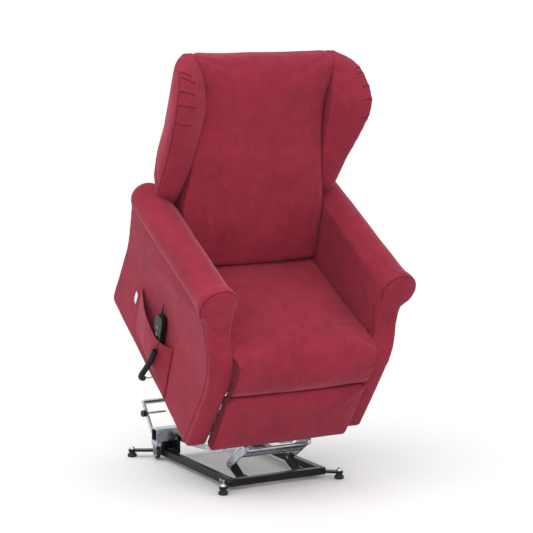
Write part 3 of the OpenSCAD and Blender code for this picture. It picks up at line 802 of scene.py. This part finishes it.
def make_back():
    back = pad_solid("back_cover", BACK_SIDE, -BACK_X, BACK_X, 0.020, crown=0.006, shrink=0.002, rounds=2)
    co = coords(back.data)
    wide = np.interp(co[:, 2], [s for s, x in BACK_WIDTH], [x for s, x in BACK_WIDTH])
    # The top edge stays high right up to its two corners
    co[:, 2] += 0.013 * np.clip((co[:, 2] - 0.750) / 0.080, 0, 1) * np.abs(co[:, 0] / BACK_X) ** 4
    co[:, 0] *= wide / BACK_X
    set_coords(back.data, co)
    back = remeshed(back, 0.0070, 3)
    edge = lambda co: np.interp(co[:, 2], [s for s, x in BACK_WIDTH], [x for s, x in BACK_WIDTH])
    swollen(back, 4.0, 0.020,
        lambda co: (co[:, 1] > -0.02) | (co[:, 2] < 0.125) | (np.abs(co[:, 0]) > edge(co) - 0.004))
    back = subdivided(back)
    co = coords(back.data)
    co[:, 0] = np.clip(co[:, 0], -edge(co) - 0.001, edge(co) + 0.001)
    set_coords(back.data, co)
    # Painted shade on the back cushion's sides below its top, where it meets the wings and the arms
    normal = normals_of(back.data)
    darkened(back, 0.6 * (np.abs(normal[:, 0]) > 0.85) * (co[:, 2] < 0.76))
    waved(back, 0.17, 0.0026, 2.0)
    waved(back, 0.05, 0.0006, 4.0)
    placed(back, BACK, "back", CLOTH, ["back_cushion"])


def wing_section(z, inner, outer, rear, count=10):
    """Closed outline of the wing at one height: band, outer side, rear, and the side behind the cushion."""
    inner, outer, rear = np.array(inner), np.array(outer), np.array(rear)
    shell = 0.5854 + 0.364 * (z - 0.2308) - 0.001
    behind = [np.array([0.292, max(shell, rear[1] + 0.006)]), np.array([max(inner[0] - 0.004, 0.246), shell])]
    behind[0][0] = min(behind[0][0], rear[0] - 0.012)
    corners = [(inner, outer, 0.012), (outer, rear, 0.004), (rear, behind[0], 0.004),
        (behind[0], behind[1], 0.0), (behind[1], inner, 0.0)]
    ring = []
    for a, b, bulge in corners:
        d = b - a
        out = np.array([d[1], -d[0]]) / max(np.linalg.norm(d), 1e-9)
        ring += [a + d * t + out * bulge * math.sin(math.pi * t)
            for t in np.linspace(0, 1, count, endpoint=False)]
    return [(x, y, z) for x, y in ring]


def wing_top(z):
    """Rise of the wing's top, up to the back's top edge."""
    return 0.009 * np.clip((z - 0.950) / 0.054, 0, 1)


def make_wings():
    table = np.array(WING)
    heights = np.concatenate([table[:, 0], np.linspace(table[0, 0], table[-1, 0], 40)])
    heights = np.unique(np.round(heights, 4))
    row = lambda z: [np.interp(z, table[:, 0], table[:, k]) for k in range(1, 7)]
    rings = []
    for z in heights:
        xi, yi, xo, yo, xr, yr = row(z)
        rings.append(wing_section(z, (xi, yi), (xo, yo), (xr, yr)))
    n = len(rings[0])
    verts = [p for ring in rings for p in ring]
    faces = [[i * n + k, i * n + (k + 1) % n, (i + 1) * n + (k + 1) % n, (i + 1) * n + k]
        for i in range(len(rings) - 1) for k in range(n)]
    faces += [list(range(n - 1, -1, -1)), list(range(len(verts) - n, len(verts)))]
    wing = new_object("wing_cover_left", verts, faces)
    co = coords(wing.data)
    co[:, 2] += wing_top(co[:, 2])
    set_coords(wing.data, co)
    wing = remeshed(wing, 0.0044, 4)
    swollen(wing, 3.0, 0.007, lambda co: (co[:, 0] < 0.262) | (co[:, 2] < 0.59))
    wing = subdivided(wing)
    waved(wing, 0.12, 0.0018, 6.0)
    outer_seam = lambda z: np.array([row(z)[2] - 0.003, row(z)[3] + 0.004, z + wing_top(z)])
    inner_seam = lambda z: np.array([row(z)[0], row(z)[1], z + wing_top(z)])
    # Outer seam of the wing, with painted shade along it
    seam = [outer_seam(z) for z in np.linspace(0.575, 1.000, 60)] + [np.array([0.338, 0.805, 1.003])]
    carve(wing, seam, 0.0036, 0.0032)
    right = mirrored(wing, "wing_cover_right")
    # Gathers where the band is eased round the outer seam's upper curve, with painted shade in their folds: long
    # on one wing, short on the other
    for obj, way_x, share, depth in ((wing, 1, 0.42, 0.0030), (right, -1, 1.0, 0.0042)):
        for z, reach, sag in ((1.003, 0.34, 0.004), (0.997, 0.50, 0.005), (0.977, 0.50, 0.004),
                (0.947, 0.56, 0.002), (0.892, 0.46, -0.003)):
            start, way = outer_seam(z), inner_seam(z - 0.050) - outer_seam(z)
            line = [start + way * t + np.array([0, -0.008 * t, sag]) * math.sin(math.pi * t / reach)
                for t in np.linspace(0.03, reach * share, 14)]
            carve(obj, [(p[0] * way_x, p[1], p[2]) for p in line], 0.0034, depth, painted_shade=0.60, ridge=0.0016)
    for obj, side in ((wing, "left"), (right, "right")):
        placed(obj, BODY, "back", CLOTH, [f"wing_{side}"])


def make_shell():
    """Outside back: a stretched cloth panel with rounded edges."""
    shell = pad_solid("outside_back", SHELL, 0, SHELL_T, 0.006, rounds=1, step=0.006)
    co = coords(shell.data)
    turned = np.stack([co[:, 1], SHELL_N + co[:, 0], co[:, 2]], 1)
    set_coords(shell.data, turned)
    shell.data.flip_normals()
    shell = remeshed(shell, 0.0050, 3)
    waved(shell, 0.2, 0.0015, 7.0)
    placed(shell, BACK, "back", CLOTH, ["back_shell"])


make_arms()
make_seat()
make_footrest()
make_back()
make_wings()
make_shell()


# ---------- pocket and tag ----------

def sheet_grid(name, rows, thickness):
    """Cloth sheet of the given grid of points, made thick on both sides."""
    n, m = len(rows), len(rows[0])
    verts = [tuple(p) for row in rows for p in row]
    faces = [[i * m + k, i * m + k + 1, (i + 1) * m + k + 1, (i + 1) * m + k]
        for i in range(n - 1) for k in range(m - 1)]
    obj = new_object(name, verts, faces)
    thick = obj.modifiers.new("thick", "SOLIDIFY")
    thick.thickness, thick.offset = thickness, 0
    return apply_modifiers(obj)


def make_pocket():
    low = resampled(POCKET_LOW, 0.005, False)
    mouth = resampled(cut_corners(POCKET_MOUTH, 2, closed=False), 0.005, False)
    across, up, fullest = 72, 44, 0.42
    rows = []
    for j in range(up + 1):
        v = j / up
        row = []
        for i in range(across + 1):
            u = i / across
            b = np.array([np.interp(u, np.linspace(0, 1, len(mouth)), mouth[:, k]) for k in (0, 1)])
            a = np.array([np.interp(u, np.linspace(0, 1, len(low)), low[:, k]) for k in (0, 1)])
            p = a + (b - a) * v
            share = u / fullest if u < fullest else (1 - u) / (1 - fullest)
            belly = math.sin(math.pi / 2 * share)
            open_by = min(1, max(0, belly) * 1.15) ** 0.8 * v ** 0.6
            pushed = math.exp(-(math.dist(p, HANDSET_END) / HANDSET_REACH) ** 4)
            stand = 0.0034 + POCKET_DEPTH * max(open_by, pushed)
            row.append((-ARM_OUTER - stand, p[0], p[1]))
        rows.append(row)
    pocket = sheet_grid("pocket", rows, 0.0022)
    pocket = subdivided(pocket)
    # Hem line below the pocket's mouth, pressed in with painted shade along it
    hem = [(p[0], p[1] - 0.014) for p in mouth]
    carve(pocket, hem, 0.0022, 0.0008, axes=(1, 2), painted_shade=0.45)
    placed(pocket, BODY, "chair", CLOTH, ["hand_pocket"])


def make_tag():
    rows = []
    for j in range(13):
        v = j / 12
        row = []
        for i in range(7):
            u = i / 6
            y, z = 0.565 + 0.017 * u + 0.006 * v, 0.131 + 0.003 * u + 0.041 * v
            row.append((-ARM_OUTER - 0.0040 - 0.0016 * math.sin(math.pi * (1 - v)) * u, y, z))
        rows.append(row)
    tag = sheet_grid("blank_tag", rows, 0.0006)
    placed(tag, BODY, "chair", TAG, ["care_tag"])


make_pocket()
make_tag()


# ---------- base pieces ----------

UP, ACROSS = (0, 0, 1), (1, 0, 0)

def make_casters():
    tyre = [(-0.006, 0.0120), (-0.006, 0.0180), (-0.0045, 0.0212), (-0.002, 0.0219), (0.002, 0.0219),
        (0.0045, 0.0212), (0.006, 0.0180), (0.006, 0.0120)]
    hub = [(-0.0055, 0.0042), (-0.0062, 0.0070), (-0.0048, 0.0085), (-0.0048, 0.0108), (-0.0058, 0.0124),
        (0.0058, 0.0124), (0.0048, 0.0108), (0.0048, 0.0085), (0.0062, 0.0070), (0.0055, 0.0042)]
    for side in ("left", "right"):
        low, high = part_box(f"caster_wheel_{side}")
        centre = (low + high) / 2
        wheel = lathed(f"tyre_{side}", tyre, centre, ACROSS, 56)
        placed(wheel, Matrix.Identity(4), f"caster_{side}", RUBBER, [f"caster_wheel_{side}"])
        middle = lathed(f"hub_{side}", hub, centre, ACROSS, 56)
        placed(middle, Matrix.Identity(4), f"caster_{side}", HUB)


def make_feet():
    """Moulded glides, and a domed nut over each foot bolt."""
    glide = [(0.0, 0.0130), (0.0015, 0.0160), (0.004, 0.0170), (0.009, 0.0170),
        (0.0115, 0.0158), (0.013, 0.0125), (0.014, 0.0112), (0.0198, 0.0108)]
    dome = [(0.0, 0.0100), (0.0012, 0.0106), (0.003, 0.0104)] + [
        (0.003 + 0.0095 * math.sin(a), 0.0100 * math.cos(a)) for a in np.linspace(0.1, 1.5, 9)]
    low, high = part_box("glide_feet")
    front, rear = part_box("front_legs")[1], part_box("rear_legs")[1]
    radius, from_end, sunk = 0.017, 0.014, 0.0002
    places = [(side * (end - from_end), y)
        for end, y in ((front.x, low.y + radius), (rear.x, high.y - radius)) for side in (-1, 1)]
    glides = joined("glides", [lathed("glide", glide, (x, y, 0.0), UP, 40) for x, y in places])
    placed(glides, Matrix.Identity(4), "base", RUBBER, ["glide_feet"])
    domes = joined("domed_nuts",
        [lathed("dome", dome, (x, y, front.z - sunk), UP, 32) for x, y in places])
    placed(domes, Matrix.Identity(4), "base", ZINC)


def make_knob():
    """Black round cap over the outer end of the handle's stay."""
    low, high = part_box("brace_rod")
    y, z = (low.y + high.y) / 2, (low.z + high.z) / 2
    cap = [(-0.0028, 0.0040), (-0.0024, 0.0082), (-0.0006, 0.0112), (0.002, 0.0126), (0.0135, 0.0126),
        (0.0152, 0.0118), (0.0157, 0.0060)]
    knob = lathed("knob", cap, (low.x, y, z), ACROSS, 40)
    placed(knob, Matrix.Identity(4), "base", PLASTIC)


make_casters()
make_feet()
make_knob()


# ---------- finishes of the CAD parts that show ----------

FINISH = {
    "black_frame": BLACK_PAINT,
    "zinc": ZINC,
    "rubber": RUBBER,
    "black_plastic": PLASTIC,
    "button_grey": GREY,
    "spring_steel": SPRING,
    "beech": WOOD,
    "white_tag": TAG,
    "upholstery": CLOTH,
}
SPECIAL = {"handset_case": GLOSS}
BEVEL = {"black_frame": 0.0016, "zinc": 0.0007, "black_plastic": 0.0022, "beech": 0.0020,
    "spring_steel": 0.0005, "button_grey": 0.0006, "rubber": 0.0008}
BEVEL_OF = {"handset_case": 0.0045, "handset_relief": 0.0006, "brace_rod": 0.0006,
    "lift_motor": 0.003}
slots = {part["node"]: part["material_slot"] for part in frame["record"]["subparts"]}

for name, obj in frame["nodes"].items():
    if obj.hide_render:
        continue
    slot = slots[name]
    obj.data.materials.clear()
    obj.data.materials.append(SPECIAL.get(name, FINISH[slot]))
    if slot in BEVEL:
        weld = obj.modifiers.new("weld", "WELD")
        weld.merge_threshold = 0.00002
        bevel = obj.modifiers.new("bevel", "BEVEL")
        bevel.width = BEVEL_OF.get(name, BEVEL[slot])
        bevel.segments = 2
        bevel.limit_method, bevel.angle_limit = "ANGLE", math.radians(35)
        bevel.use_clamp_overlap = True
        bevel.harden_normals = False


# ---------- floor and lights ----------

def make_floor():
    half = 60.0
    corners = [(-half, -half, 0), (half, -half, 0), (half, half, 0), (-half, half, 0)]
    floor = new_object("floor", corners, [[0, 1, 2, 3]])
    floor.data.materials.append(floor_paint())


def make_lights():
    world = bpy.data.worlds.new("studio")
    world.use_nodes = True
    sky = world.node_tree.nodes["Background"]
    sky.inputs["Color"].default_value = (1, 1, 1, 1)
    sky.inputs["Strength"].default_value = 1.02
    bpy.context.scene.world = world
    bpy.context.scene.view_settings.view_transform = "Standard"
    # A very wide sun, for shadows as soft as a studio's
    data = bpy.data.lights.new("sun", "SUN")
    data.energy, data.angle = 1.6, math.radians(75)
    sun = bpy.data.objects.new("sun", data)
    sun.location = (-1.0, -1.2, 5.0)
    look_at(sun, (0, 0, 0.4))
    bpy.context.scene.collection.objects.link(sun)
    area_light("side", (-2.2, 0.3, 2.6), (-0.35, 0.1, 1.3), 1.2, 9)
    area_light("front", (-1.5, -3.2, 1.9), (0, 0.2, 1.1), 1.6, 26)


make_floor()
make_lights()
